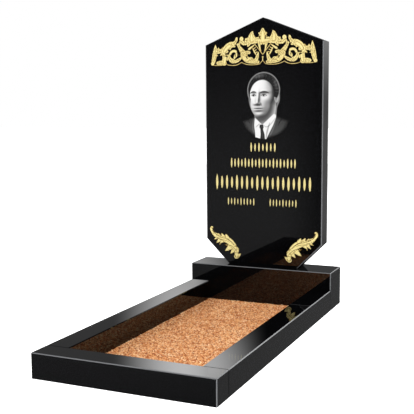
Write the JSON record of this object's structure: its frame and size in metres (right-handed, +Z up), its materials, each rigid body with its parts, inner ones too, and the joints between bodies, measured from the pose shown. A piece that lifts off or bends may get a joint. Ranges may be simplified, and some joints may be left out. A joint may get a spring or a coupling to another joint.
{
  "type": "upright headstone",
  "caption": "Upright stone headstone with sloping foot, low gable and carved gilt ornament, standing on a plinth behind a kerbed bed of stone chippings.",
  "frame": {"origin": "middle of the whole footprint, on the ground", "axes": "-Y is the side that faces the visitor, where the front kerb is; +Y is the headstone's end; +X is to the visitor's right; +Z is up"},
  "size_m": [0.6, 1.2696, 1.1503],
  "materials": {
    "polished_gabbro": null,
    "stone_chippings": null
  },
  "bodies": {
    "root": {"headstone": "polished_gabbro", "plinth": "polished_gabbro", "kerb_front": "polished_gabbro", "kerb_left": "polished_gabbro", "kerb_right": "polished_gabbro", "chippings_bed": "stone_chippings"}
  },
  "joints": []
}
